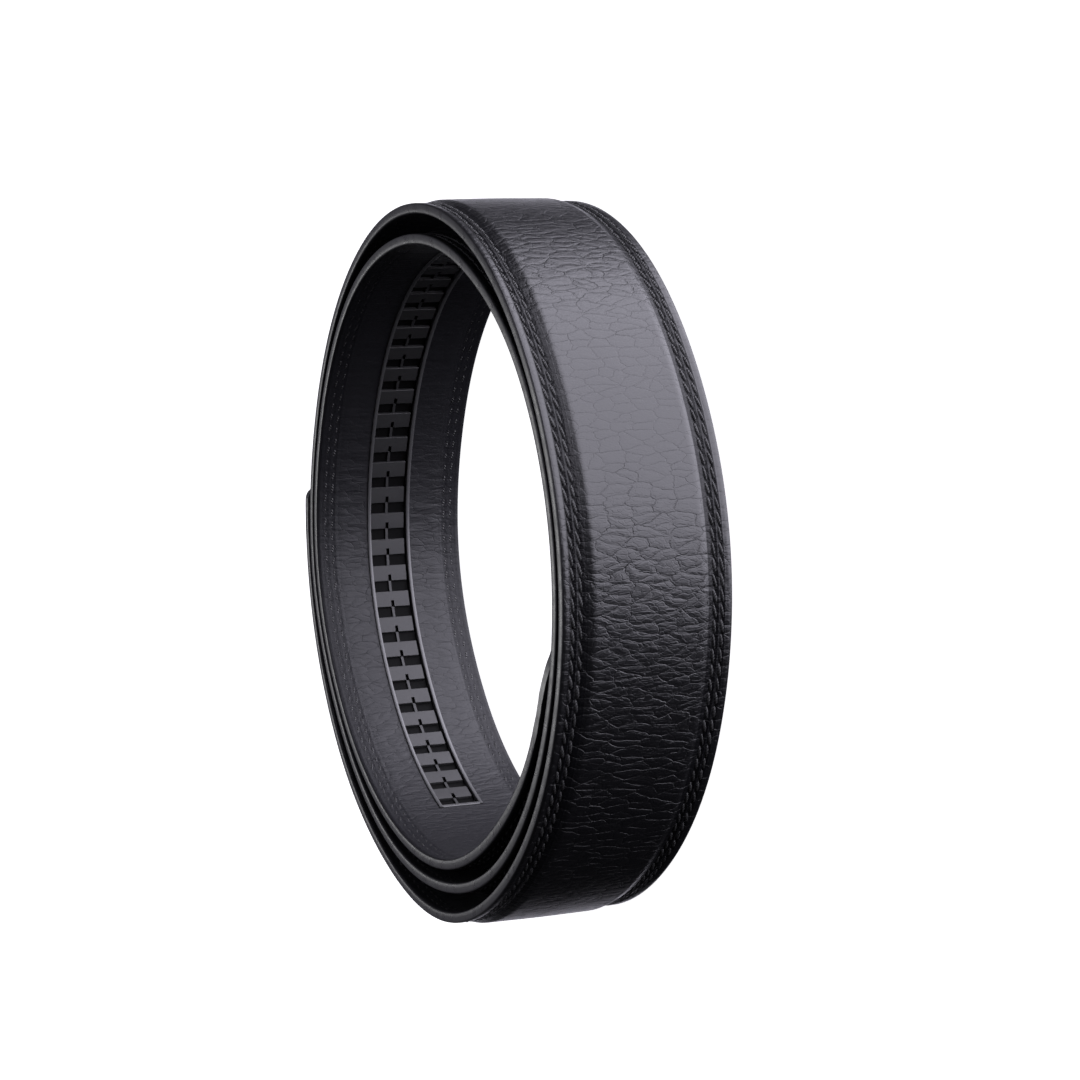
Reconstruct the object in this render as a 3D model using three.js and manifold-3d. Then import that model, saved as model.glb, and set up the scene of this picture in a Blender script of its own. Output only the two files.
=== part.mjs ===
// A padded leather belt strap with a toothed rail set in its lining, rolled up into a coil.
// The coil lies on one long edge of the strap. Millimetres, +Z up, origin under the middle.
//
// The strap is described flat, by three coordinates, and then bent round the coil:
//   along   distance from the square end, measured on the strap's middle line
//   height  distance from the strap's lower long edge, which lies on the floor
//   out     distance outwards from the middle line, through the strap's thickness
import * as THREE from 'three';
import Module from 'manifold-3d';

const wasm = await Module();
wasm.setup();
const { Manifold, Mesh } = wasm;

// The strap
const STRAP_LENGTH = 1124;
const STRAP_WIDTH = 35;
const EDGE_THICKNESS = 2.15;
const LINING_THICKNESS = 1.0;
const SEAM_GAP = 0.15;
const EDGE_BEVEL = 0.35;
const BORDER_WIDTH = 4.6;
const SLOPE_WIDTH = 2.2;
const PADDING_HEIGHT = 0.74;
const PADDING_RUN_OUT = 7.4;

// The square end has small round corners, the tongue is half an ellipse with a blunt tip
const CORNER_RADIUS = 2.8;
const TONGUE_LENGTH = 25;
const TONGUE_TIP_WIDTH = 4.6;

// The rail in the lining, and its teeth
const RAIL_LENGTH = 238;
const RAIL_TO_TONGUE_TIP = 132.2;
const RAIL_WIDTH = 10.3;
const RAIL_LIP = 0.83;
const RAIL_STANDS_PROUD = 0.32;
const RAIL_FLOOR = 0.3;
const RAIL_CLEARANCE = 0.25;
const TOOTH_PITCH = 6.25;
const TOOTH_TO_RAIL_END = 3.9;
const TOOTH_LENGTH = 3.7;
const TOOTH_FLAT = 2.2;
const TOOTH_HEIGHT = 0.75;
const TOOTH_LOW_HEIGHT = 0.65;
const TOOTH_NOTCH = 0.75;
const TOOTH_SIDE_GAP = 0.55;
const RIB_WIDTH = 0.6;
const RIB_HEIGHT = 0.4;
const SUNK = 0.1;

// The coil. Angles run from +X towards +Y. The strap starts in the outer lap, at its square end,
// and winds inwards. A row gives the outer lap's radius as a share of COIL_RADIUS, and how far
// the next two laps stand off it, beyond touching, as shares of COIL_SLACK.
const COIL_RADIUS = 73.7;
const COIL_SLACK = 3.3;
const LAP_CLEARANCE = 0.28;
const START_ANGLE = 75.5;
const SECTION_ANGLE = 6;
const COIL = [
  { angle: 90, radius: 1.034, middleSlack: 0, innerSlack: 0 },
  { angle: 120, radius: 1.01, middleSlack: 0.46, innerSlack: 0.04 },
  { angle: 150, radius: 0.988, middleSlack: 0.5, innerSlack: 0.38 },
  { angle: 180, radius: 1.001, middleSlack: 0.96, innerSlack: 0.44 },
  { angle: 210, radius: 0.999, middleSlack: 0.32, innerSlack: 0.91 },
  { angle: 240, radius: 1.012, middleSlack: 0.12, innerSlack: 0.3 },
  { angle: 270, radius: 1.023, middleSlack: 0, innerSlack: 0 },
  { angle: 300, radius: 1.01, middleSlack: 0.06, innerSlack: 0 },
  { angle: 330, radius: 1.009, middleSlack: 0.8, innerSlack: 0 },
  { angle: 360, radius: 1.002, middleSlack: 0.9, innerSlack: 0 },
  { angle: 390, radius: 0.988, middleSlack: 0.24, innerSlack: 0 },
  { angle: 420, radius: 0.982, middleSlack: 0, innerSlack: 0 },
];

const LEATHER = new THREE.MeshStandardMaterial({ color: 0x17181a, roughness: 0.45 });
const LINING = new THREE.MeshStandardMaterial({ color: 0x26272a, roughness: 0.6 });
const PLASTIC = new THREE.MeshStandardMaterial({ color: 0x303134, roughness: 0.4 });

const LAP_PITCH = EDGE_THICKNESS + PADDING_HEIGHT + LAP_CLEARANCE;
const KNOT_ANGLE = 360 / COIL.length;

function knotRadius(knot) {
  const row = COIL[Math.max(knot, 0) % COIL.length];
  const lap = Math.floor(Math.max(knot, 0) / COIL.length);
  const slacks = [row.middleSlack, row.innerSlack].slice(0, lap);
  const slack = slacks.reduce((sum, share) => sum + share * COIL_SLACK, 0);
  return row.radius * COIL_RADIUS - lap * LAP_PITCH - slack;
}

// Radius of the middle line: a smooth curve through the knots
function coilRadius(angle) {
  const position = (angle - COIL[0].angle) / KNOT_ANGLE;
  const knot = Math.floor(position);
  const t = position - knot;
  const [a, b, c, d] = [knot - 1, knot, knot + 1, knot + 2].map(knotRadius);
  return b + 0.5 * t * (c - a + t * (2 * a - 5 * b + 4 * c - d + t * (3 * (b - c) + d - a)));
}

function middleLine(angle) {
  const turn = THREE.MathUtils.degToRad(angle);
  const radius = coilRadius(angle);
  return new THREE.Vector2(radius * Math.cos(turn), radius * Math.sin(turn));
}

// The middle line's length up to each step of the angle, which turns lengths into angles
const ANGLE_STEP = 0.5;
const LENGTHS = [0];
while (LENGTHS.at(-1) < STRAP_LENGTH) {
  const angle = START_ANGLE + (LENGTHS.length - 1) * ANGLE_STEP;
  LENGTHS.push(LENGTHS.at(-1) + middleLine(angle).distanceTo(middleLine(angle + ANGLE_STEP)));
}

function angleAt(along) {
  const next = Math.max(1, LENGTHS.findIndex((length) => length >= along));
  const share = (along - LENGTHS[next - 1]) / (LENGTHS[next] - LENGTHS[next - 1]);
  return START_ANGLE + (next - 1 + share) * ANGLE_STEP;
}

function lengthAt(angle) {
  const position = (angle - START_ANGLE) / ANGLE_STEP;
  const step = Math.floor(position);
  return THREE.MathUtils.lerp(LENGTHS[step], LENGTHS[step + 1], position - step);
}

// Bends one section of the flat strap to its place on the coil
function bend(along, section) {
  const angle = angleAt(along);
  const point = middleLine(angle);
  const ahead = middleLine(angle + ANGLE_STEP / 2).sub(middleLine(angle - ANGLE_STEP / 2)).normalize();
  return section.map(([height, out]) => [point.x + out * ahead.y, point.y - out * ahead.x, height]);
}

// Stations at the section angles between two lengths, so that the facets of all laps line up
function stationsBetween(start, end) {
  const stations = [start];
  const first = Math.ceil(angleAt(start) / SECTION_ANGLE) * SECTION_ANGLE;
  for (let angle = first; angle < angleAt(end); angle += SECTION_ANGLE) {
    const along = lengthAt(angle);
    if (along > start + 1 && along < end - 1) {
      stations.push(along);
    }
  }
  return [...stations, end];
}

// A closed solid through sections. sectionAt(along) lists [height, out] points anticlockwise.
function loft(stations, sectionAt) {
  const sections = stations.map(sectionAt);
  const size = sections[0].length;
  const points = sections.flatMap((section, index) => bend(stations[index], section));
  const triangles = [];
  for (let ring = 0; ring + 1 < sections.length; ring += 1) {
    for (let corner = 0; corner < size; corner += 1) {
      const a = ring * size + corner;
      const b = ring * size + ((corner + 1) % size);
      triangles.push([a, b, a + size], [b, b + size, a + size]);
    }
  }
  const outline = sections[0].map(([height, out]) => new THREE.Vector2(height, out));
  const last = (sections.length - 1) * size;
  for (const [a, b, c] of THREE.ShapeUtils.triangulateShape(outline, [])) {
    triangles.push([c, b, a], [last + a, last + b, last + c]);
  }
  return new Manifold(new Mesh({
    numProp: 3,
    vertProperties: Float32Array.from(points.flat()),
    triVerts: Uint32Array.from(triangles.flat()),
  }));
}

// A block of the flat strap, bent round the coil
function block([start, end], [low, high], [inside, outside]) {
  return loft(stationsBetween(start, end), () => [
    [low, inside],
    [high, inside],
    [high, outside],
    [low, outside],
  ]);
}

// How far the strap's long edges draw in at a station
function edgeInset(along) {
  const beforeCorner = CORNER_RADIUS - along;
  if (beforeCorner > 0) {
    return CORNER_RADIUS - Math.sqrt(CORNER_RADIUS ** 2 - beforeCorner ** 2);
  }
  const intoTongue = Math.max(0, (along - STRAP_LENGTH + TONGUE_LENGTH) / TONGUE_LENGTH);
  const tongueWidth = STRAP_WIDTH * Math.sqrt(Math.max(0, 1 - intoTongue ** 2));
  return (STRAP_WIDTH - Math.max(tongueWidth, TONGUE_TIP_WIDTH)) / 2;
}

// The padding sinks to the border at both ends of the strap
function paddingHeight(along) {
  const fromEnd = Math.min(along, STRAP_LENGTH - along);
  return PADDING_HEIGHT * THREE.MathUtils.smoothstep(fromEnd, 0, PADDING_RUN_OUT);
}

const INNER_FACE = -EDGE_THICKNESS / 2;
const OUTER_FACE = EDGE_THICKNESS / 2;
const LINING_BACK = INNER_FACE + LINING_THICKNESS;
const LEATHER_BACK = LINING_BACK + SEAM_GAP;

// Half of the leather's section, from its back round the edge to the padded middle
function leatherSection(along) {
  const narrowing = 1 - (2 * edgeInset(along)) / STRAP_WIDTH;
  const padded = OUTER_FACE + paddingHeight(along);
  const padStart = BORDER_WIDTH + SLOPE_WIDTH;
  const lowerHalf = [
    { fromEdge: 0, out: LEATHER_BACK },
    { fromEdge: 0, out: OUTER_FACE - EDGE_BEVEL },
    { fromEdge: EDGE_BEVEL, out: OUTER_FACE },
    { fromEdge: BORDER_WIDTH, out: OUTER_FACE },
    { fromEdge: padStart, out: THREE.MathUtils.lerp(OUTER_FACE, padded, 0.8) },
    { fromEdge: THREE.MathUtils.lerp(padStart, STRAP_WIDTH / 2, 0.6), out: padded },
  ].map(({ fromEdge, out }) => [STRAP_WIDTH / 2 - (STRAP_WIDTH / 2 - fromEdge) * narrowing, out]);
  const upperHalf = lowerHalf.map(([height, out]) => [STRAP_WIDTH - height, out]);
  return [...lowerHalf.reverse(), ...upperHalf];
}

function liningSection(along) {
  const low = edgeInset(along);
  const high = STRAP_WIDTH - low;
  return [
    [low, LINING_BACK],
    [low, INNER_FACE + EDGE_BEVEL],
    [low + EDGE_BEVEL, INNER_FACE],
    [high - EDGE_BEVEL, INNER_FACE],
    [high, INNER_FACE + EDGE_BEVEL],
    [high, LINING_BACK],
  ];
}

// Stations of the whole strap, closer together at its two ends
function strapStations() {
  const tongueStart = STRAP_LENGTH - TONGUE_LENGTH;
  const corner = [0, 0.12, 0.45].map((share) => share * CORNER_RADIUS);
  const plain = stationsBetween(CORNER_RADIUS, tongueStart);
  const tongue = [0.35, 0.6, 0.78, 0.9, 0.97, 1].map((share) => tongueStart + share * TONGUE_LENGTH);
  return [...corner, ...plain, ...tongue];
}

// Places of the rail in the flat strap
const RAIL_END = STRAP_LENGTH - RAIL_TO_TONGUE_TIP;
const RAIL_START = RAIL_END - RAIL_LENGTH;
const RAIL_LOW = (STRAP_WIDTH - RAIL_WIDTH) / 2;
const RAIL_HIGH = RAIL_LOW + RAIL_WIDTH;
const RAIL_TOP = INNER_FACE - RAIL_STANDS_PROUD;
const RAIL_CHANNEL = LINING_BACK - RAIL_FLOOR;

// Half of a tooth on the rail's floor: it falls a little towards the tongue
function toothHalf(start, [low, high]) {
  const tops = new Map([
    [start, RAIL_CHANNEL - TOOTH_HEIGHT],
    [start + TOOTH_FLAT, RAIL_CHANNEL - TOOTH_HEIGHT],
    [start + TOOTH_LENGTH, RAIL_CHANNEL - TOOTH_LOW_HEIGHT],
  ]);
  return loft([...tops.keys()], (along) => [
    [low, tops.get(along)],
    [high, tops.get(along)],
    [high, RAIL_CHANNEL + SUNK],
    [low, RAIL_CHANNEL + SUNK],
  ]);
}

// One tooth: two halves with a notch between them, joined by a bar, and a rib to the next tooth
function tooth(start) {
  const low = RAIL_LOW + RAIL_LIP + TOOTH_SIDE_GAP;
  const high = RAIL_HIGH - RAIL_LIP + SUNK;
  const middle = (low + high) / 2;
  const notchLow = middle - TOOTH_NOTCH / 2;
  const notchHigh = middle + TOOTH_NOTCH / 2;
  const bar = block(
    [start, start + TOOTH_FLAT],
    [notchLow - SUNK, notchHigh + SUNK],
    [RAIL_CHANNEL - TOOTH_HEIGHT, RAIL_CHANNEL + SUNK],
  );
  const rib = block(
    [start + TOOTH_LENGTH, start + TOOTH_PITCH + SUNK],
    [middle - RIB_WIDTH / 2, middle + RIB_WIDTH / 2],
    [RAIL_CHANNEL - RIB_HEIGHT, RAIL_CHANNEL + SUNK],
  );
  return Manifold.union([toothHalf(start, [low, notchLow]), toothHalf(start, [notchHigh, high]), bar, rib]);
}

function ratchetTrack() {
  const rail = block([RAIL_START, RAIL_END], [RAIL_LOW, RAIL_HIGH], [RAIL_TOP, LINING_BACK]);
  const channel = block(
    [RAIL_START + RAIL_LIP, RAIL_END - RAIL_LIP],
    [RAIL_LOW + RAIL_LIP, RAIL_HIGH - RAIL_LIP],
    [RAIL_TOP - 1, RAIL_CHANNEL],
  );
  const lastTooth = RAIL_END - TOOTH_TO_RAIL_END - TOOTH_LENGTH;
  const steps = Math.floor((lastTooth - TOOTH_TO_RAIL_END - RAIL_START) / TOOTH_PITCH);
  const teeth = [];
  for (let index = 0; index <= steps; index += 1) {
    teeth.push(tooth(lastTooth - index * TOOTH_PITCH));
  }
  return Manifold.union([rail.subtract(channel), ...teeth]);
}

// The lining is cut through where the rail lies
function liningLeather() {
  const slot = block(
    [RAIL_START - RAIL_CLEARANCE, RAIL_END + RAIL_CLEARANCE],
    [RAIL_LOW - RAIL_CLEARANCE, RAIL_HIGH + RAIL_CLEARANCE],
    [INNER_FACE - 1, LINING_BACK + 1],
  );
  return loft(strapStations(), liningSection).subtract(slot);
}

function namedMesh(name, solid, material) {
  const { vertProperties, triVerts } = solid.getMesh();
  const geometry = new THREE.BufferGeometry();
  geometry.setAttribute('position', new THREE.BufferAttribute(vertProperties, 3));
  geometry.setIndex(new THREE.BufferAttribute(triVerts, 1));
  geometry.computeVertexNormals();
  const mesh = new THREE.Mesh(geometry, material);
  mesh.name = name;
  return mesh;
}

const strap = new THREE.Group();
strap.name = 'ratchet_belt_strap';
strap.add(
  namedMesh('outer_leather', loft(strapStations(), leatherSection), LEATHER),
  namedMesh('lining_leather', liningLeather(), LINING),
  namedMesh('ratchet_track', ratchetTrack(), PLASTIC),
);

// The origin goes under the middle of the coil's bounding box
const middle = new THREE.Box3().setFromObject(strap).getCenter(new THREE.Vector3());
strap.children.forEach((mesh) => mesh.geometry.translate(-middle.x, -middle.y, 0));

export default strap;
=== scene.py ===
"""A padded leather belt strap with a toothed rail in its lining, rolled up into a coil.

The strap is described flat, by three coordinates, and then bent round the coil:
along from the square end, height above the lower long edge, and out through the thickness.
Lengths are in millimetres until a mesh is made. Blender's own unit is the metre.
"""

import math

import bpy
import numpy as np
from mathutils import Matrix, Vector


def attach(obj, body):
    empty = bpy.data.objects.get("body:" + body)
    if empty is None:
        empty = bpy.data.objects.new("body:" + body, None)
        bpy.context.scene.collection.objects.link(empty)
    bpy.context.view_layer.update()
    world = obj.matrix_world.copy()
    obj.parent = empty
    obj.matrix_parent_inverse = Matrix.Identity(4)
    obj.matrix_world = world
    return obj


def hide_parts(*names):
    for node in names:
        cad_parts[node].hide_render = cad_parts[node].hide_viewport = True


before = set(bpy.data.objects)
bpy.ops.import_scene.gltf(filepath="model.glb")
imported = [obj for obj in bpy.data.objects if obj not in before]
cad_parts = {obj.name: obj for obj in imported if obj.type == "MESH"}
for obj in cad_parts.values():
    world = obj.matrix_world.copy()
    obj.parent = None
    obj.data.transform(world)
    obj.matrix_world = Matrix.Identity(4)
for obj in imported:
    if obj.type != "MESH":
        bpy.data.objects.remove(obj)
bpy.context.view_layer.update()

# The strap
STRAP_LENGTH = 1124.0
STRAP_WIDTH = 35.0
EDGE_THICKNESS = 2.15
LINING_THICKNESS = 1.0
SEAM_GAP = 0.02
EDGE_ROUND = 0.32
BORDER_WIDTH = 4.6
SLOPE_WIDTH = 2.2
PADDING_HEIGHT = 0.74
CORNER_RADIUS = 2.8
TONGUE_LENGTH = 25.0
TONGUE_TIP_WIDTH = 4.6

# The stitching: two rows along each edge
STITCH_ROWS = (2.1, 3.7)
STITCH_PITCH = 2.9
STITCH_LENGTH = 3.1
STITCH_WIDTH = 0.64
STITCH_HEIGHT = 0.52
STITCH_SLANT = 0.2
STITCH_RISE = 0.06
STITCH_SEED = 11
INSIDE_RISE = -0.22
SEAM_DEPTH = 0.32
INSIDE_SEAM_DEPTH = 0.1
SEAM_BAND = (STITCH_ROWS[0] - 0.7, BORDER_WIDTH + 0.6)
INSIDE_SEAM_BAND = (0.0, BORDER_WIDTH + 0.4)

# How far a stitch may differ from the next, in slant, rise and shares of its width and length
STITCH_SLANT_CHANGE = 0.1
STITCH_RISE_CHANGE = 0.04
STITCH_WIDTH_CHANGE = 0.16
STITCH_LENGTH_CHANGE = 0.08

# The grain: its cells' width in creases and pillows is a share of a cell, and the other shares
# are of the depth of its bumps
GRAIN_STRETCH = 0.44
GRAIN_WOBBLE = 1.7
CREASE_WIDTH = 0.045
BROKEN_CREASE_FADE = 0.8
SMOOTH_CREASE_FADE = 0.74
SMOOTH_PILLOW_FADE = 0.7
PILLOW_WIDTH = 0.34
PILLOW_SHARE = 0.7
SMALL_CELL = 0.43
SMALL_CREASE_WIDTH = 0.12
SMALL_CREASE_SHARE = 0.3
FINE_SCALE = 4.5
FINE_SHARE = 0.5
FINE_ROUGHNESS = 0.08
WRINKLE_STRETCH = 0.24
WRINKLE_WOBBLE = 2.0
WRINKLE_SCALE = 0.5
RUMPLE_SCALE = 1.3
RUMPLE_SHARE = 2.4

# The grain is shallow and deep by turns along the strap
STRETCH_LENGTH = 150.0
SMOOTH_FROM = 262.0

# What a face of the strap's layers is, as the number of its material
PLAIN, CUT_EDGE, AT_SEAMS = 0, 1, 2

# The rail in the lining, and its teeth
RAIL_LENGTH = 238.0
RAIL_TO_TONGUE_TIP = 132.2
RAIL_WIDTH = 10.3
RAIL_LIP = 0.83
RAIL_STANDS_PROUD = 0.32
RAIL_FLOOR = 0.3
RAIL_CLEARANCE = 0.04
RAIL_ROUND = 0.15
TOOTH_PITCH = 6.25
TOOTH_TO_RAIL_END = 3.9
TOOTH_LENGTH = 3.7
TOOTH_FLAT = 2.2
TOOTH_HEIGHT = 0.75
TOOTH_LOW_HEIGHT = 0.65
TOOTH_NOTCH = 0.75
TOOTH_SIDE_GAP = 0.55
TOOTH_BEVEL = 0.07
RIB_WIDTH = 0.6
RIB_HEIGHT = 0.4
SUNK = 0.1

# The coil: a row gives the outer lap's radius as a share of COIL_RADIUS, and how far the next
# two laps stand off it, beyond touching, as shares of COIL_SLACK
COIL_RADIUS = 73.7
COIL_SLACK = 3.3
LAP_CLEARANCE = 0.28
START_ANGLE = 75.5
FIRST_KNOT = 90
KNOT_STEP = 30
COIL = [
    # radius, middle slack, inner slack
    (1.034, 0.0, 0.0),
    (1.010, 0.46, 0.04),
    (0.988, 0.50, 0.38),
    (1.001, 0.96, 0.44),
    (0.999, 0.32, 0.91),
    (1.012, 0.12, 0.30),
    (1.023, 0.0, 0.0),
    (1.010, 0.06, 0.0),
    (1.009, 0.80, 0.0),
    (1.002, 0.90, 0.0),
    (0.988, 0.24, 0.0),
    (0.982, 0.0, 0.0),
]

INNER_FACE = -EDGE_THICKNESS / 2
OUTER_FACE = EDGE_THICKNESS / 2
LINING_BACK = INNER_FACE + LINING_THICKNESS
LAP_PITCH = EDGE_THICKNESS + PADDING_HEIGHT + LAP_CLEARANCE
UV_SPAN = 1200.0


def knot_radius(knot):
    """Radius of the middle line at one knot."""
    radius, *slacks = COIL[max(knot, 0) % len(COIL)]
    lap = max(knot, 0) // len(COIL)
    return radius * COIL_RADIUS - lap * LAP_PITCH - sum(slacks[:lap]) * COIL_SLACK


KNOT_RADII = np.array([knot_radius(knot) for knot in range(-2, 36)])


def coil_radius(angle):
    """Radius of the middle line: a smooth curve through the knots."""
    position = (np.asarray(angle, float) - FIRST_KNOT) / KNOT_STEP
    knot = np.floor(position).astype(int)
    t = position - knot
    a, b, c, d = (KNOT_RADII[knot + step + 2] for step in (-1, 0, 1, 2))
    return b + 0.5 * t * (c - a + t * (2 * a - 5 * b + 4 * c - d + t * (3 * (b - c) + d - a)))


def middle_line(angle):
    turn = np.radians(angle)
    radius = coil_radius(angle)
    return np.stack([radius * np.cos(turn), radius * np.sin(turn)], axis=-1)


ANGLES = np.arange(START_ANGLE - 1, START_ANGLE + 930, 0.25)
STEPS = np.linalg.norm(np.diff(middle_line(ANGLES), axis=0), axis=1)
LENGTHS = np.concatenate([[0], np.cumsum(STEPS)])
LENGTHS = LENGTHS - np.interp(START_ANGLE, ANGLES, LENGTHS)


def bend(along, height, out):
    """Bends points of the flat strap to their places on the coil."""
    along, height, out = np.broadcast_arrays(along, height, out)
    angle = np.interp(along, LENGTHS, ANGLES)
    point = middle_line(angle)
    ahead = middle_line(angle + 0.25) - middle_line(angle - 0.25)
    ahead = ahead / np.linalg.norm(ahead, axis=-1, keepdims=True)
    x = point[..., 0] + out * ahead[..., 1]
    y = point[..., 1] - out * ahead[..., 0]
    return np.stack([x, y, height], axis=-1)


def coil_middle():
    """Middle of the coil's bounding box, which goes over the origin."""
    along = np.linspace(0, 480, 4000)
    points = bend(along, 0, OUTER_FACE + PADDING_HEIGHT)[:, :2]
    return np.append((points.min(axis=0) + points.max(axis=0)) / 2, 0)


MIDDLE = coil_middle()


def edge_inset(along):
    """How far the strap's long edges draw in."""
    before = np.clip(CORNER_RADIUS - along, 0, CORNER_RADIUS)
    corner = CORNER_RADIUS - np.sqrt(CORNER_RADIUS**2 - before**2)
    into = np.clip((along - STRAP_LENGTH + TONGUE_LENGTH) / TONGUE_LENGTH, 0, 1)
    width = np.maximum(STRAP_WIDTH * np.sqrt(1 - into**2), TONGUE_TIP_WIDTH)
    return np.maximum(corner, (STRAP_WIDTH - width) / 2)


def outline_near(start, end):
    """Points of the strap's outline between two lengths, one of which is an end of the strap."""
    along = start + (end - start) * np.linspace(0, 1, 260)
    if end == STRAP_LENGTH:
        along = end - (end - start) * np.linspace(1, 0, 260) ** 2
    inset = edge_inset(along)
    tip = STRAP_LENGTH if end == STRAP_LENGTH else 0.0
    low = edge_inset(np.array(tip))
    across = np.linspace(low, STRAP_WIDTH - low, 120)
    return np.concatenate([
        np.stack([along, inset], axis=1),
        np.stack([along, STRAP_WIDTH - inset], axis=1),
        np.stack([np.full(120, tip), across], axis=1),
    ])


def edge_distance(along, height):
    """Distance from points of the flat strap to its outline."""
    distance = np.minimum(height, STRAP_WIDTH - height)
    tongue = STRAP_LENGTH - TONGUE_LENGTH
    for near, outline in (
        (along < 12, outline_near(0, 24)),
        (along > tongue - 10, outline_near(tongue - 20, STRAP_LENGTH)),
    ):
        points = np.stack([along[near], height[near]], axis=1)
        apart = np.linalg.norm(points[:, None, :] - outline[None, :, :], axis=2)
        distance[near] = apart.min(axis=1)
    return distance


def smoothstep(value, low, high):
    t = np.clip((value - low) / (high - low), 0, 1)
    return t * t * (3 - 2 * t)


def seam(distance):
    """1 on a row of stitches, falling to 0 between the rows."""
    return sum(np.exp(-(((distance - row) / 0.42) ** 2)) for row in STITCH_ROWS)


def edge_rounding(distance):
    inward = np.clip(EDGE_ROUND - distance, 0, EDGE_ROUND)
    return EDGE_ROUND - np.sqrt(EDGE_ROUND**2 - inward**2)


def leather_face(distance):
    """Outside of the leather: round edge, flat border with two seams, slope and padded field."""
    slope = smoothstep(distance, BORDER_WIDTH - 0.2, BORDER_WIDTH + SLOPE_WIDTH - 0.4)
    crown = smoothstep(distance, BORDER_WIDTH, STRAP_WIDTH / 2)
    padding = PADDING_HEIGHT * (0.86 * slope + 0.14 * crown)
    return OUTER_FACE + padding - edge_rounding(distance) - SEAM_DEPTH * seam(distance)


def lining_face(distance):
    return INNER_FACE + edge_rounding(distance) + INSIDE_SEAM_DEPTH * seam(distance)


def make_piece(name, points, faces, materials, uv=None, face_material=None, values=None, sharp=38):
    """Makes a mesh object from points in millimetres, and says what it rides on."""
    mesh = bpy.data.meshes.new(name)
    mesh.from_pydata(((points - MIDDLE) / 1000).tolist(), [], faces)
    for material in materials:
        mesh.materials.append(material)
    if face_material is not None:
        mesh.polygons.foreach_set("material_index", face_material)
    if uv is not None:
        corners = np.empty(len(mesh.loops), dtype=np.int32)
        mesh.loops.foreach_get("vertex_index", corners)
        layer = mesh.uv_layers.new(name="strap")
        layer.data.foreach_set("uv", (uv[corners] / UV_SPAN).astype(np.float32).ravel())
    for key, numbers in (values or {}).items():
        attribute = mesh.attributes.new(key, "FLOAT", "POINT")
        attribute.data.foreach_set("value", numbers.astype(np.float32))
    mesh.shade_smooth()
    mesh.set_sharp_from_angle(angle=math.radians(sharp))
    mesh.update()
    piece = bpy.data.objects.new(name, mesh)
    bpy.context.scene.collection.objects.link(piece)
    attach(piece, "root")
    return piece


def slab(name, stations, heights, inner_of, outer_of, hole, seam_band, materials):
    """A closed layer of the strap, with its material, its cut edge's and its seams' in materials.

    hole(along, height) says where it is cut through, and seam_band how far from the edge the seams are.
    """
    rows, columns = len(stations), len(heights)
    along = np.repeat(stations[:, None], columns, axis=1)
    share = heights / (STRAP_WIDTH / 2) - 1
    half = STRAP_WIDTH / 2 - edge_inset(stations)[:, None]
    height = STRAP_WIDTH / 2 + share[None, :] * half
    distance = edge_distance(along, height)
    points = np.concatenate([
        bend(along, height, inner_of(distance)).reshape(-1, 3),
        bend(along, height, outer_of(distance)).reshape(-1, 3),
    ])
    middle_along = (stations[:-1] + stations[1:])[:, None] / 2
    middle_height = (heights[:-1] + heights[1:])[None, :] / 2
    present = np.pad(~hole(middle_along, middle_height), 1)

    def corner(side, row, column):
        return int(side * rows * columns + row * columns + column)

    faces = []
    kinds = []
    for row in range(rows - 1):
        for column in range(columns - 1):
            if not present[row + 1, column + 1]:
                continue
            inner = [corner(0, row + a, column + b) for a, b in ((0, 0), (1, 0), (1, 1), (0, 1))]
            outer = [corner(1, row + a, column + b) for a, b in ((0, 0), (1, 0), (1, 1), (0, 1))]
            in_band = seam_band[0] < distance[row:row + 2, column:column + 2].mean() < seam_band[1]
            faces += [inner[::-1], outer]
            kinds += [AT_SEAMS if in_band else PLAIN] * 2
            neighbours = (
                (0, -1, 0, 1),
                (1, 0, 1, 2),
                (0, 1, 2, 3),
                (-1, 0, 3, 0),
            )
            for step, side, a, b in neighbours:
                if not present[row + 1 + step, column + 1 + side]:
                    faces.append([inner[a], inner[b], outer[b], outer[a]])
                    at_edge = row + step in (-1, rows - 1) or column + side in (-1, columns - 1)
                    kinds.append(CUT_EDGE if at_edge else PLAIN)
    used, places = np.unique(np.array(faces), return_inverse=True)
    uv = np.tile(np.stack([along.ravel(), height.ravel()], axis=1), (2, 1))
    edge = np.tile(distance.ravel(), 2)
    return make_piece(
        name,
        points[used],
        places.reshape(-1, 4).tolist(),
        materials,
        uv=uv[used],
        face_material=kinds,
        values={"edge_distance": edge[used]},
    )


def strap_stations(step, cuts=()):
    """Stations of the whole strap, closer together at its two ends."""
    tongue = STRAP_LENGTH - TONGUE_LENGTH
    corner = CORNER_RADIUS * np.array([0, 0.03, 0.1, 0.2, 0.35, 0.55, 0.8])
    plain = np.linspace(CORNER_RADIUS, tongue, int((tongue - CORNER_RADIUS) / step))
    tip = tongue + TONGUE_LENGTH * np.sin(np.linspace(0, math.pi / 2, 34))[1:]
    plain = plain[[np.all(np.abs(place - np.array(cuts)) > 0.4) for place in plain]] if cuts else plain
    return np.unique(np.concatenate([corner, plain, tip, np.array(cuts, dtype=float)]))


def across_from(half):
    """Heights across the strap from distances to its edge, the same from both edges."""
    half = np.array(half)
    return np.unique(np.concatenate([half, STRAP_WIDTH - half]))


def new_material(name, color, roughness, specular):
    material = bpy.data.materials.new(name)
    material.use_nodes = True
    shader = material.node_tree.nodes["Principled BSDF"]
    shader.inputs["Base Color"].default_value = (*color, 1)
    shader.inputs["Roughness"].default_value = roughness
    shader.inputs["Specular IOR Level"].default_value = specular
    return material, material.node_tree.nodes, material.node_tree.links, shader


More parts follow.
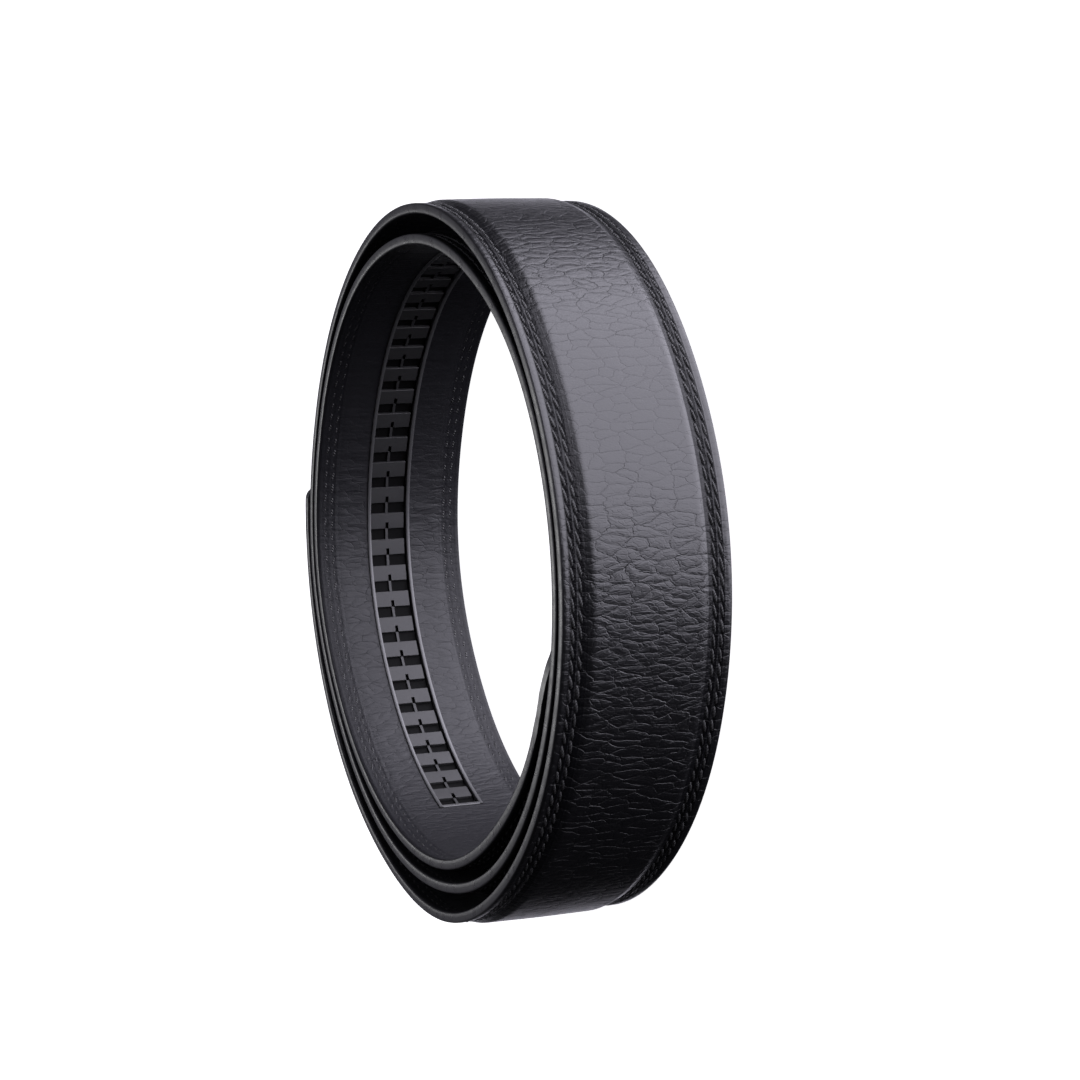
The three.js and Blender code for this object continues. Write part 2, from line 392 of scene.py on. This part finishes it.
def math_node(nodes, links, operation, *values):
    node = nodes.new("ShaderNodeMath")
    node.operation = operation
    for socket, value in zip(node.inputs, values):
        if isinstance(value, bpy.types.NodeSocket):
            links.new(value, socket)
        else:
            socket.default_value = value
    return node.outputs[0]


def ranged(nodes, links, value, low, high, first=0.0, last=1.0):
    node = nodes.new("ShaderNodeMapRange")
    node.interpolation_type = "SMOOTHSTEP"
    links.new(value, node.inputs["Value"])
    for key, number in (("From Min", low), ("From Max", high), ("To Min", first), ("To Max", last)):
        node.inputs[key].default_value = number
    return node.outputs["Result"]


def strap_coordinates(nodes, links, stretch=(1.0, 1.0), wobble=0.0):
    """Millimetres on the flat strap, wobbled by a noise so that nothing on it is regular."""
    uv = nodes.new("ShaderNodeUVMap")
    uv.uv_map = "strap"
    scale = nodes.new("ShaderNodeMapping")
    scale.inputs["Scale"].default_value = (UV_SPAN * stretch[0], UV_SPAN * stretch[1], 1)
    links.new(uv.outputs["UV"], scale.inputs["Vector"])
    if not wobble:
        return scale.outputs["Vector"]
    noise = nodes.new("ShaderNodeTexNoise")
    noise.inputs["Scale"].default_value = 0.45
    noise.inputs["Detail"].default_value = 3
    links.new(scale.outputs["Vector"], noise.inputs["Vector"])
    shift = nodes.new("ShaderNodeVectorMath")
    shift.operation = "MULTIPLY_ADD"
    links.new(noise.outputs["Color"], shift.inputs[0])
    shift.inputs[1].default_value = (wobble, wobble, 0)
    links.new(scale.outputs["Vector"], shift.inputs[2])
    return shift.outputs["Vector"]


def creases(nodes, links, vector, cell, width):
    """0 in the creases between the grain's cells, 1 on the cells."""
    voronoi = nodes.new("ShaderNodeTexVoronoi")
    voronoi.feature = "DISTANCE_TO_EDGE"
    voronoi.voronoi_dimensions = "2D"
    voronoi.inputs["Scale"].default_value = 1 / cell
    voronoi.inputs["Randomness"].default_value = 1.0
    links.new(vector, voronoi.inputs["Vector"])
    return ranged(nodes, links, voronoi.outputs["Distance"], 0, width)


def fine_noise(nodes, links, vector, scale, detail=4):
    noise = nodes.new("ShaderNodeTexNoise")
    noise.inputs["Scale"].default_value = scale
    noise.inputs["Detail"].default_value = detail
    links.new(vector, noise.inputs["Vector"])
    return noise.outputs["Fac"]


def add_bump(nodes, links, shader, height, distance):
    bump = nodes.new("ShaderNodeBump")
    bump.inputs["Strength"].default_value = 1.0
    bump.inputs["Distance"].default_value = distance / 1000
    links.new(height, bump.inputs["Height"])
    links.new(bump.outputs["Normal"], shader.inputs["Normal"])


def color_between(nodes, links, shader, factor, low, high):
    mix = nodes.new("ShaderNodeMix")
    mix.data_type = "RGBA"
    links.new(factor, mix.inputs["Factor"])
    mix.inputs["A"].default_value = (*low, 1)
    mix.inputs["B"].default_value = (*high, 1)
    links.new(mix.outputs["Result"], shader.inputs["Base Color"])


def smooth_stretches(nodes, links):
    """1 where the grain is shallow, 0 where it is deep, by turns along the strap."""
    split = nodes.new("ShaderNodeSeparateXYZ")
    vector = strap_coordinates(nodes, links)
    links.new(vector, split.inputs[0])
    turns = 2 * math.pi / STRETCH_LENGTH
    phase = math_node(nodes, links, "MULTIPLY_ADD", split.outputs["X"], turns, -turns * SMOOTH_FROM)
    uneven = fine_noise(nodes, links, vector, 0.12, detail=2)
    phase = math_node(nodes, links, "MULTIPLY_ADD", uneven, 1.4, phase)
    return ranged(nodes, links, math_node(nodes, links, "SINE", phase), 0.1, 0.95)


def grained_leather(name, specular, low, high, roughness, cell, depth, border_share, wrinkles):
    """Leather with a pebbled grain, its cells and wrinkles stretched across the strap."""
    material, nodes, links, shader = new_material(name, high, roughness[0], specular)

    def reckon(operation, *values):
        return math_node(nodes, links, operation, *values)

    vector = strap_coordinates(nodes, links, stretch=(1.0, GRAIN_STRETCH), wobble=GRAIN_WOBBLE)
    smooth = smooth_stretches(nodes, links)
    broken = ranged(nodes, links, fine_noise(nodes, links, vector, 0.5, detail=3), 0.42, 0.58)
    broken = reckon("MULTIPLY", broken, BROKEN_CREASE_FADE)
    fade = reckon("MAXIMUM", broken, reckon("MULTIPLY", smooth, SMOOTH_CREASE_FADE))
    large = reckon("MAXIMUM", creases(nodes, links, vector, cell, CREASE_WIDTH), fade)
    pillow = creases(nodes, links, vector, cell, PILLOW_WIDTH)
    small = creases(nodes, links, vector, cell * SMALL_CELL, SMALL_CREASE_WIDTH)
    fine = fine_noise(nodes, links, vector, FINE_SCALE, detail=5)
    cells = reckon("MULTIPLY", pillow, PILLOW_SHARE)
    cells = reckon("MULTIPLY_ADD", small, SMALL_CREASE_SHARE, cells)
    cells = reckon("MULTIPLY", cells, reckon("MULTIPLY_ADD", smooth, -SMOOTH_PILLOW_FADE, 1.0))
    cells = reckon("ADD", cells, large)
    cells = reckon("MULTIPLY_ADD", fine, FINE_SHARE, cells)
    if wrinkles:
        across = strap_coordinates(nodes, links, stretch=(1.0, WRINKLE_STRETCH), wobble=WRINKLE_WOBBLE)
        waves = fine_noise(nodes, links, across, WRINKLE_SCALE, detail=2)
        cells = reckon("MULTIPLY_ADD", waves, wrinkles, cells)
    edge = nodes.new("ShaderNodeAttribute")
    edge.attribute_name = "edge_distance"
    distance = edge.outputs["Fac"]
    field = ranged(nodes, links, distance, 2, BORDER_WIDTH + SLOPE_WIDTH, border_share, 1)
    at_edge = ranged(nodes, links, distance, 0.1, 0.8, 0.1, 1)
    height = reckon("MULTIPLY", cells, reckon("MULTIPLY", field, at_edge))
    # The band of the two rows is pulled in and rumpled by the stitches
    outside = ranged(nodes, links, distance, STITCH_ROWS[0] - 0.9, STITCH_ROWS[0] - 0.3)
    inside = ranged(nodes, links, distance, BORDER_WIDTH + 0.7, BORDER_WIDTH - 0.2)
    rumples = fine_noise(nodes, links, strap_coordinates(nodes, links), RUMPLE_SCALE, detail=3)
    rumpled = reckon("MULTIPLY", rumples, reckon("MULTIPLY", outside, inside))
    rumpled = reckon("MULTIPLY", rumpled, RUMPLE_SHARE)
    add_bump(nodes, links, shader, reckon("ADD", height, rumpled), depth)
    # The creases take the darker colour: painted shade in the creases.
    color_between(nodes, links, shader, large, low, high)
    worn = reckon("MULTIPLY_ADD", large, roughness[0] - roughness[1], roughness[1])
    links.new(reckon("MULTIPLY_ADD", fine, FINE_ROUGHNESS, worn), shader.inputs["Roughness"])
    return material


def painted_edge():
    """The smooth paint along the strap's cut edges, slightly uneven."""
    material, nodes, links, shader = new_material("painted_edge", (0.022, 0.022, 0.024), 0.42, 0.5)
    vector = strap_coordinates(nodes, links, stretch=(0.35, 1.0))
    uneven = fine_noise(nodes, links, vector, 0.8, detail=3)
    add_bump(nodes, links, shader, uneven, 0.08)
    color_between(nodes, links, shader, uneven, (0.014, 0.014, 0.016), (0.03, 0.03, 0.033))
    links.new(ranged(nodes, links, uneven, 0.3, 0.7, 0.24, 0.36), shader.inputs["Roughness"])
    return material


def twisted_thread():
    material, nodes, links, shader = new_material("thread", (0.016, 0.016, 0.018), 0.5, 0.4)
    split = nodes.new("ShaderNodeSeparateXYZ")
    links.new(strap_coordinates(nodes, links), split.inputs[0])
    slanted = math_node(nodes, links, "ADD", split.outputs["X"], split.outputs["Y"])
    twist = math_node(nodes, links, "SINE", math_node(nodes, links, "MULTIPLY", slanted, 9.0))
    add_bump(nodes, links, shader, twist, 0.05)
    # The thread is coloured darker in the twist's grooves: painted shade between the plies.
    color_between(nodes, links, shader, ranged(nodes, links, twist, -1, 1), (0.008,) * 3, (0.022,) * 3)
    return material


def moulded_plastic(name, low, high, roughness, specular, depth):
    material, nodes, links, shader = new_material(name, high, roughness[0], specular)
    vector = strap_coordinates(nodes, links)
    grain = fine_noise(nodes, links, vector, 6.0, detail=2)
    add_bump(nodes, links, shader, grain, depth)
    color_between(nodes, links, shader, grain, low, high)
    links.new(ranged(nodes, links, grain, 0.3, 0.7, *roughness), shader.inputs["Roughness"])
    return material


# The colours and roughness are those in the creases and on the cells, and of the cells and in the
# creases. The creases' darker colour is painted shade. The band at the seams shines less, and so does
# the lining's.
OUTER_LOOK = {
    "low": (0.001, 0.001, 0.0012),
    "high": (0.003, 0.003, 0.0036),
    "roughness": (0.32, 0.47),
    "cell": 2.0,
    "depth": 0.08,
    "border_share": 0.7,
    "wrinkles": 0.0,
}
INNER_LOOK = {
    "low": (0.004, 0.004, 0.005),
    "high": (0.008, 0.008, 0.0095),
    "roughness": (0.44, 0.52),
    "cell": 1.6,
    "depth": 0.035,
    "border_share": 0.5,
    "wrinkles": 7.0,
}
LEATHER = grained_leather("leather", specular=0.5, **OUTER_LOOK)
LEATHER_SEAM = grained_leather("leather_at_seams", specular=0.17, **OUTER_LOOK)
LINING = grained_leather("lining", specular=0.33, **INNER_LOOK)
LINING_SEAM = grained_leather("lining_at_seams", specular=0.2, **INNER_LOOK)
EDGE_PAINT = painted_edge()
THREAD = twisted_thread()
PLASTIC = moulded_plastic("moulded_plastic", (0.014,) * 3, (0.024,) * 3, (0.44, 0.54), 0.4, 0.02)
# The channel floor is the rail's own plastic, painted much darker: painted shade in the pockets between
# the teeth.
POCKET_PAINTED_SHADE = moulded_plastic("channel_floor_painted_shade", (0.002,) * 3, (0.004,) * 3, (0.5, 0.6), 0.04, 0.01)
# The lips are the rail's own plastic, painted lighter: a painted highlight along their rounded edges.
LIP_PAINTED_HIGHLIGHT = moulded_plastic("lip_painted_highlight", (0.04,) * 3, (0.06,) * 3, (0.34, 0.42), 0.6, 0.01)

# The two layers
LEATHER_COLUMNS = across_from([
    0, 0.03, 0.09, 0.18, EDGE_ROUND, 0.9, 1.5, 1.8, 2.1, 2.4, 2.9, 3.4, 3.7, 4.0,
    4.6, 5.15, 5.7, 6.25, 6.8, 8.5, 10.5, 13, 15.5, 17.5,
])
LEATHER_BACK = LINING_BACK + SEAM_GAP
leather = slab(
    "belt_leather",
    strap_stations(1.6),
    LEATHER_COLUMNS,
    lambda distance: np.full_like(distance, LEATHER_BACK),
    leather_face,
    lambda along, height: np.zeros(np.broadcast_shapes(along.shape, height.shape), dtype=bool),
    SEAM_BAND,
    [LEATHER, EDGE_PAINT, LEATHER_SEAM],
)
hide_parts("outer_leather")

RAIL_END = STRAP_LENGTH - RAIL_TO_TONGUE_TIP
RAIL_START = RAIL_END - RAIL_LENGTH
RAIL_LOW = (STRAP_WIDTH - RAIL_WIDTH) / 2
RAIL_HIGH = RAIL_LOW + RAIL_WIDTH
RAIL_TOP = INNER_FACE - RAIL_STANDS_PROUD
RAIL_CHANNEL = LINING_BACK - RAIL_FLOOR
SLOT = (RAIL_START - RAIL_CLEARANCE, RAIL_END + RAIL_CLEARANCE)
SLOT_LOW, SLOT_HIGH = RAIL_LOW - RAIL_CLEARANCE, RAIL_HIGH + RAIL_CLEARANCE


def in_slot(along, height):
    return (along > SLOT[0]) & (along < SLOT[1]) & (height > SLOT_LOW) & (height < SLOT_HIGH)


LINING_COLUMNS = across_from([
    0, 0.03, 0.09, 0.18, EDGE_ROUND, 0.9, 1.5, 2.1, 2.7, 3.2, 3.7, 4.4, 6, 8.5, 10.5, SLOT_LOW, 14.5, 17.5,
])
lining = slab(
    "belt_lining",
    strap_stations(1.6, SLOT),
    LINING_COLUMNS,
    lining_face,
    lambda distance: np.full_like(distance, LINING_BACK),
    in_slot,
    INSIDE_SEAM_BAND,
    [LINING, EDGE_PAINT, LINING_SEAM],
)
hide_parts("lining_leather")


class Shells:
    """Gathers closed shells into one mesh."""

    def __init__(self):
        self.flat = []
        self.faces = []
        self.face_material = []
        self.count = 0

    def rings(self, rings, side_materials=None):
        """A closed shell through rings of (along, height, out) points, with flat ends."""
        rings = np.array(rings, dtype=float)
        amount, size, _ = rings.shape
        first = self.count
        self.face_material += (side_materials or [0] * size) * (amount - 1) + [0, 0]
        for ring in range(amount - 1):
            for point in range(size):
                a = first + ring * size + point
                b = first + ring * size + (point + 1) % size
                self.faces.append([a, b, b + size, a + size])
        last = first + (amount - 1) * size
        self.faces.append([first + point for point in range(size)][::-1])
        self.faces.append([last + point for point in range(size)])
        self.flat.append(rings.reshape(-1, 3))
        self.count += amount * size

    def piece(self, name, materials, slot, sharp):
        flat = np.concatenate(self.flat)
        points = bend(flat[:, 0], flat[:, 1], flat[:, 2])
        return make_piece(
            name, points, self.faces, materials,
            uv=flat[:, :2], face_material=self.face_material, sharp=sharp,
        )


def rail_section():
    """The rail's section, as (height, out) points: a shallow channel between two round lips."""
    def lip(low, high):
        return [
            (low, RAIL_TOP + RAIL_ROUND),
            (low + RAIL_ROUND * 0.3, RAIL_TOP + RAIL_ROUND * 0.3),
            (low + RAIL_ROUND, RAIL_TOP),
            (high - RAIL_ROUND, RAIL_TOP),
            (high - RAIL_ROUND * 0.3, RAIL_TOP + RAIL_ROUND * 0.3),
            (high, RAIL_TOP + RAIL_ROUND),
        ]
    return [
        (RAIL_LOW, LINING_BACK),
        *lip(RAIL_LOW, RAIL_LOW + RAIL_LIP),
        (RAIL_LOW + RAIL_LIP, RAIL_CHANNEL),
        (RAIL_HIGH - RAIL_LIP, RAIL_CHANNEL),
        *lip(RAIL_HIGH - RAIL_LIP, RAIL_HIGH),
        (RAIL_HIGH, LINING_BACK),
    ]


def prism(shells, profile, low, high, material=0):
    """A block with its profile given as (along, out) points, between two heights."""
    rings = [[(along, height, out) for along, out in profile] for height in (low, high)]
    shells.rings(rings, [material] * len(profile))


def tooth(shells, start):
    """Two halves with a notch between them, joined by a bar, and a rib to the next tooth."""
    low = RAIL_LOW + RAIL_LIP + TOOTH_SIDE_GAP
    high = RAIL_HIGH - RAIL_LIP + SUNK
    middle = (low + high) / 2
    notch_low = middle - TOOTH_NOTCH / 2
    notch_high = middle + TOOTH_NOTCH / 2
    floor = RAIL_CHANNEL + SUNK
    top = RAIL_CHANNEL - TOOTH_HEIGHT
    low_top = RAIL_CHANNEL - TOOTH_LOW_HEIGHT
    flat = start + TOOTH_FLAT
    end = start + TOOTH_LENGTH
    half = [
        (start, floor),
        (start, top + TOOTH_BEVEL),
        (start + TOOTH_BEVEL, top),
        (flat, top),
        (end - TOOTH_BEVEL, low_top),
        (end, low_top + TOOTH_BEVEL),
        (end, floor),
    ]
    bar = [*half[:3], (flat, top), (flat, floor)]
    rib_top = RAIL_CHANNEL - RIB_HEIGHT
    rib_end = start + TOOTH_PITCH + SUNK
    rib = [(end, floor), (end, rib_top), (rib_end, rib_top), (rib_end, floor)]
    prism(shells, half, low, notch_low)
    prism(shells, half, notch_high, high)
    prism(shells, bar, notch_low, notch_high)
    prism(shells, rib, middle - RIB_WIDTH / 2, middle + RIB_WIDTH / 2)


def rail_material(a, b):
    """Material of the rail's side between two points of its section: plain, channel floor painted dark as
    shade, or lip painted light as a highlight.
    """
    if a[1] == b[1] == RAIL_CHANNEL:
        return 1
    return 2 if max(a[1], b[1]) <= RAIL_TOP + RAIL_ROUND else 0


def track_piece():
    shells = Shells()
    section = rail_section()[::-1]
    sides = [rail_material(a, b) for a, b in zip(section, section[1:] + section[:1])]
    stations = np.linspace(RAIL_START, RAIL_END, int(RAIL_LENGTH / 1.5))
    shells.rings([[(along, height, out) for height, out in section] for along in stations], sides)
    for start, end in ((RAIL_START, RAIL_START + RAIL_LIP), (RAIL_END - RAIL_LIP, RAIL_END)):
        bar = [
            (start, RAIL_CHANNEL + SUNK),
            (start, RAIL_TOP + RAIL_ROUND),
            (start + RAIL_ROUND, RAIL_TOP),
            (end - RAIL_ROUND, RAIL_TOP),
            (end, RAIL_TOP + RAIL_ROUND),
            (end, RAIL_CHANNEL + SUNK),
        ]
        # The end bars take the lips' painted highlight too.
        prism(shells, bar, RAIL_LOW + RAIL_LIP / 2, RAIL_HIGH - RAIL_LIP / 2, material=2)
    last = RAIL_END - TOOTH_TO_RAIL_END - TOOTH_LENGTH
    steps = int((last - TOOTH_TO_RAIL_END - RAIL_START) // TOOTH_PITCH)
    for index in range(steps + 1):
        tooth(shells, last - index * TOOTH_PITCH)
    return shells.piece("belt_track", [PLASTIC, POCKET_PAINTED_SHADE, LIP_PAINTED_HIGHLIGHT], "ratchet_track", 30)


track = track_piece()
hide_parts("ratchet_track")


def stitch_paths():
    """Each row as evenly spaced (along, height) points and directions, round the tongue too."""
    tongue = STRAP_LENGTH - TONGUE_LENGTH
    paths = []
    for row in STITCH_ROWS:
        turn = np.linspace(0, math.pi, 400)
        curve = np.stack([
            tongue + TONGUE_LENGTH * np.sin(turn),
            STRAP_WIDTH / 2 * (1 - np.cos(turn)),
        ], axis=1)
        step = np.gradient(curve, axis=0)
        step = step / np.linalg.norm(step, axis=1, keepdims=True)
        curve = curve + row * np.stack([-step[:, 1], step[:, 0]], axis=1)
        path = np.concatenate([[[1.2, row]], curve, [[1.2, STRAP_WIDTH - row]]])
        run = np.concatenate([[0], np.cumsum(np.linalg.norm(np.diff(path, axis=0), axis=1))])
        places = np.arange(STITCH_PITCH / 2, run[-1], STITCH_PITCH)
        centre = np.stack([np.interp(places, run, path[:, k]) for k in (0, 1)], axis=1)
        ahead = np.stack([np.interp(places + 0.3, run, path[:, k]) for k in (0, 1)], axis=1) - centre
        paths.append((row, centre, ahead / np.maximum(np.linalg.norm(ahead, axis=1, keepdims=True), 1e-9)))
    return paths


def stitching(name, face, side, stands):
    """One closed, tapered stitch at each place, its ends sunk in the leather, and no two alike."""
    shells = Shells()
    chance = np.random.default_rng(STITCH_SEED)
    stations = np.array([-0.5, -0.36, -0.12, 0.12, 0.36, 0.5])
    thickness = np.array([0.25, 0.8, 1.0, 1.0, 0.8, 0.25])
    lift = np.array([-0.24, 0.0, 0.06, 0.06, 0.0, -0.24])
    around = np.radians(np.arange(0, 360, 60))
    for row, centres, directions in stitch_paths():
        surface = float(face(np.array(row)))
        for centre, direction in zip(centres, directions):
            slanted, wider, higher, longer = chance.uniform(-1, 1, 4)
            slant = STITCH_SLANT + STITCH_SLANT_CHANGE * slanted
            ahead = direction + slant * np.array([-direction[1], direction[0]])
            beside = np.array([-ahead[1], ahead[0]]) * (1 + STITCH_WIDTH_CHANGE * wider)
            length = (1 + STITCH_LENGTH_CHANGE * longer) * STITCH_LENGTH
            above = stands + STITCH_RISE_CHANGE * higher
            rings = []
            for place, thick, rise in zip(stations, thickness, lift):
                middle = centre + place * length * ahead
                ring = []
                for turn in around:
                    spot = middle + math.cos(turn) * thick * STITCH_WIDTH / 2 * beside
                    out = surface + side * (rise + above + math.sin(turn) * thick * STITCH_HEIGHT / 2)
                    ring.append((spot[0], spot[1], out))
                rings.append(ring if side > 0 else ring[::-1])
            shells.rings(rings)
    return shells.piece(name, [THREAD], "outer_leather", 60)


stitching("stitches_outside", leather_face, 1, STITCH_RISE)
stitching("stitches_inside", lining_face, -1, INSIDE_RISE)

# The camera, fitted to the photograph: it looks down along +Y and is rolled on its side
CAMERA_ELEVATION = math.radians(22.324)
CAMERA_DISTANCE = 580.98
CAMERA_ROLL = math.radians(-3.61)
CAMERA_TARGET = (3.50, -24.325, 17.5)
FOCAL_PIXELS = 2852.48
IMAGE_PIXELS = 1080

# The lights: a wide low key, which the outer face mirrors, one low behind for the back of the coil,
# weak ones behind and above, and a panel that the near rim mirrors and the farther rims don't
SOFT_LIGHTS = [
    # direction, wide angle, narrow angle, strength
    ((0.604, -0.525, -0.6), 52, 47, 5.6),
    ((0.0, 0.84, -0.55), 30, 14, 2.4),
    ((0.0, 0.92, 0.38), 60, 15, 0.15),
    ((0.25, 0.05, 0.95), 45, 20, 1.2),
]
AMBIENT = 0.012
LIGHT_COLOR = (0.89, 0.87, 1.0)
PANEL_PLACE = (0.0, 0.75, 0.47)
PANEL_AIM = (0.0, -0.06, 0.035)
PANEL_SIZE = (0.24, 0.25)
PANEL_POWER = 0.55

# The floor is a little under the strap's edge, and glows so that it stays white without a shadow
FLOOR_SIZE = 6
FLOOR_HEIGHT = -0.0004
FLOOR_GLOW = 0.97


def make_camera():
    ahead = Vector((0, math.cos(CAMERA_ELEVATION), -math.sin(CAMERA_ELEVATION)))
    level = Vector((1, 0, 0))
    down = -Vector((0, math.sin(CAMERA_ELEVATION), math.cos(CAMERA_ELEVATION)))
    right = math.cos(CAMERA_ROLL) * down + math.sin(CAMERA_ROLL) * level
    up = -math.sin(CAMERA_ROLL) * down + math.cos(CAMERA_ROLL) * level
    data = bpy.data.cameras.new("camera")
    data.sensor_width = 36
    data.lens = FOCAL_PIXELS / IMAGE_PIXELS * data.sensor_width
    camera = bpy.data.objects.new("camera", data)
    bpy.context.scene.collection.objects.link(camera)
    target = Vector(np.array(CAMERA_TARGET) - MIDDLE) / 1000
    turn = Matrix((right, up, -ahead)).transposed()
    camera.matrix_world = Matrix.Translation(target - CAMERA_DISTANCE / 1000 * ahead) @ turn.to_4x4()
    bpy.context.scene.camera = camera


def area_light(name, place, aim, size, power):
    data = bpy.data.lights.new(name, "AREA")
    data.shape = "RECTANGLE"
    data.size, data.size_y = size
    data.energy = power
    light = bpy.data.objects.new(name, data)
    bpy.context.scene.collection.objects.link(light)
    light.location = place
    light.rotation_mode = "QUATERNION"
    light.rotation_quaternion = (Vector(aim) - Vector(place)).to_track_quat("-Z", "Y")


def make_floor():
    """A plain pale floor. The object doesn't mirror it, so the soft lights alone shape the leather."""
    material, _, _, shader = new_material("floor", (0.9, 0.9, 0.9), 0.9, 0.0)
    shader.inputs["Emission Color"].default_value = (1, 1, 1, 1)
    shader.inputs["Emission Strength"].default_value = FLOOR_GLOW
    bpy.ops.mesh.primitive_plane_add(size=FLOOR_SIZE, location=(0, 0, FLOOR_HEIGHT))
    floor = bpy.context.active_object
    floor.name = "floor"
    floor.data.materials.append(material)
    floor.visible_glossy = False
    floor.visible_diffuse = False
    floor.visible_shadow = False


def soft_lobe(nodes, links, direction, wide, narrow, strength):
    """A round soft light at infinity: full inside the narrow angle, nothing outside the wide one."""
    place = nodes.new("ShaderNodeTexCoord")
    dot = nodes.new("ShaderNodeVectorMath")
    dot.operation = "DOT_PRODUCT"
    links.new(place.outputs["Generated"], dot.inputs[0])
    dot.inputs[1].default_value = Vector(direction).normalized()
    low, high = math.cos(math.radians(wide)), math.cos(math.radians(narrow))
    return ranged(nodes, links, dot.outputs["Value"], low, high, 0, strength)


def make_studio():
    """The soft lights as the world that lights the object, white where the camera sees past it."""
    world = bpy.data.worlds.new("studio")
    world.use_nodes = True
    nodes, links = world.node_tree.nodes, world.node_tree.links
    lit = nodes["Background"]
    lit.inputs["Color"].default_value = (*LIGHT_COLOR, 1)
    total = AMBIENT
    for soft_light in SOFT_LIGHTS:
        total = math_node(nodes, links, "ADD", total, soft_lobe(nodes, links, *soft_light))
    links.new(total, lit.inputs["Strength"])
    seen = nodes.new("ShaderNodeBackground")
    seen.inputs["Color"].default_value = (1, 1, 1, 1)
    path = nodes.new("ShaderNodeLightPath")
    mix = nodes.new("ShaderNodeMixShader")
    links.new(path.outputs["Is Camera Ray"], mix.inputs["Fac"])
    links.new(lit.outputs["Background"], mix.inputs[1])
    links.new(seen.outputs["Background"], mix.inputs[2])
    links.new(mix.outputs["Shader"], nodes["World Output"].inputs["Surface"])
    bpy.context.scene.world = world
    area_light("panel", PANEL_PLACE, PANEL_AIM, PANEL_SIZE, PANEL_POWER)
    bpy.context.scene.view_settings.view_transform = "Standard"


make_camera()
make_floor()
make_studio()
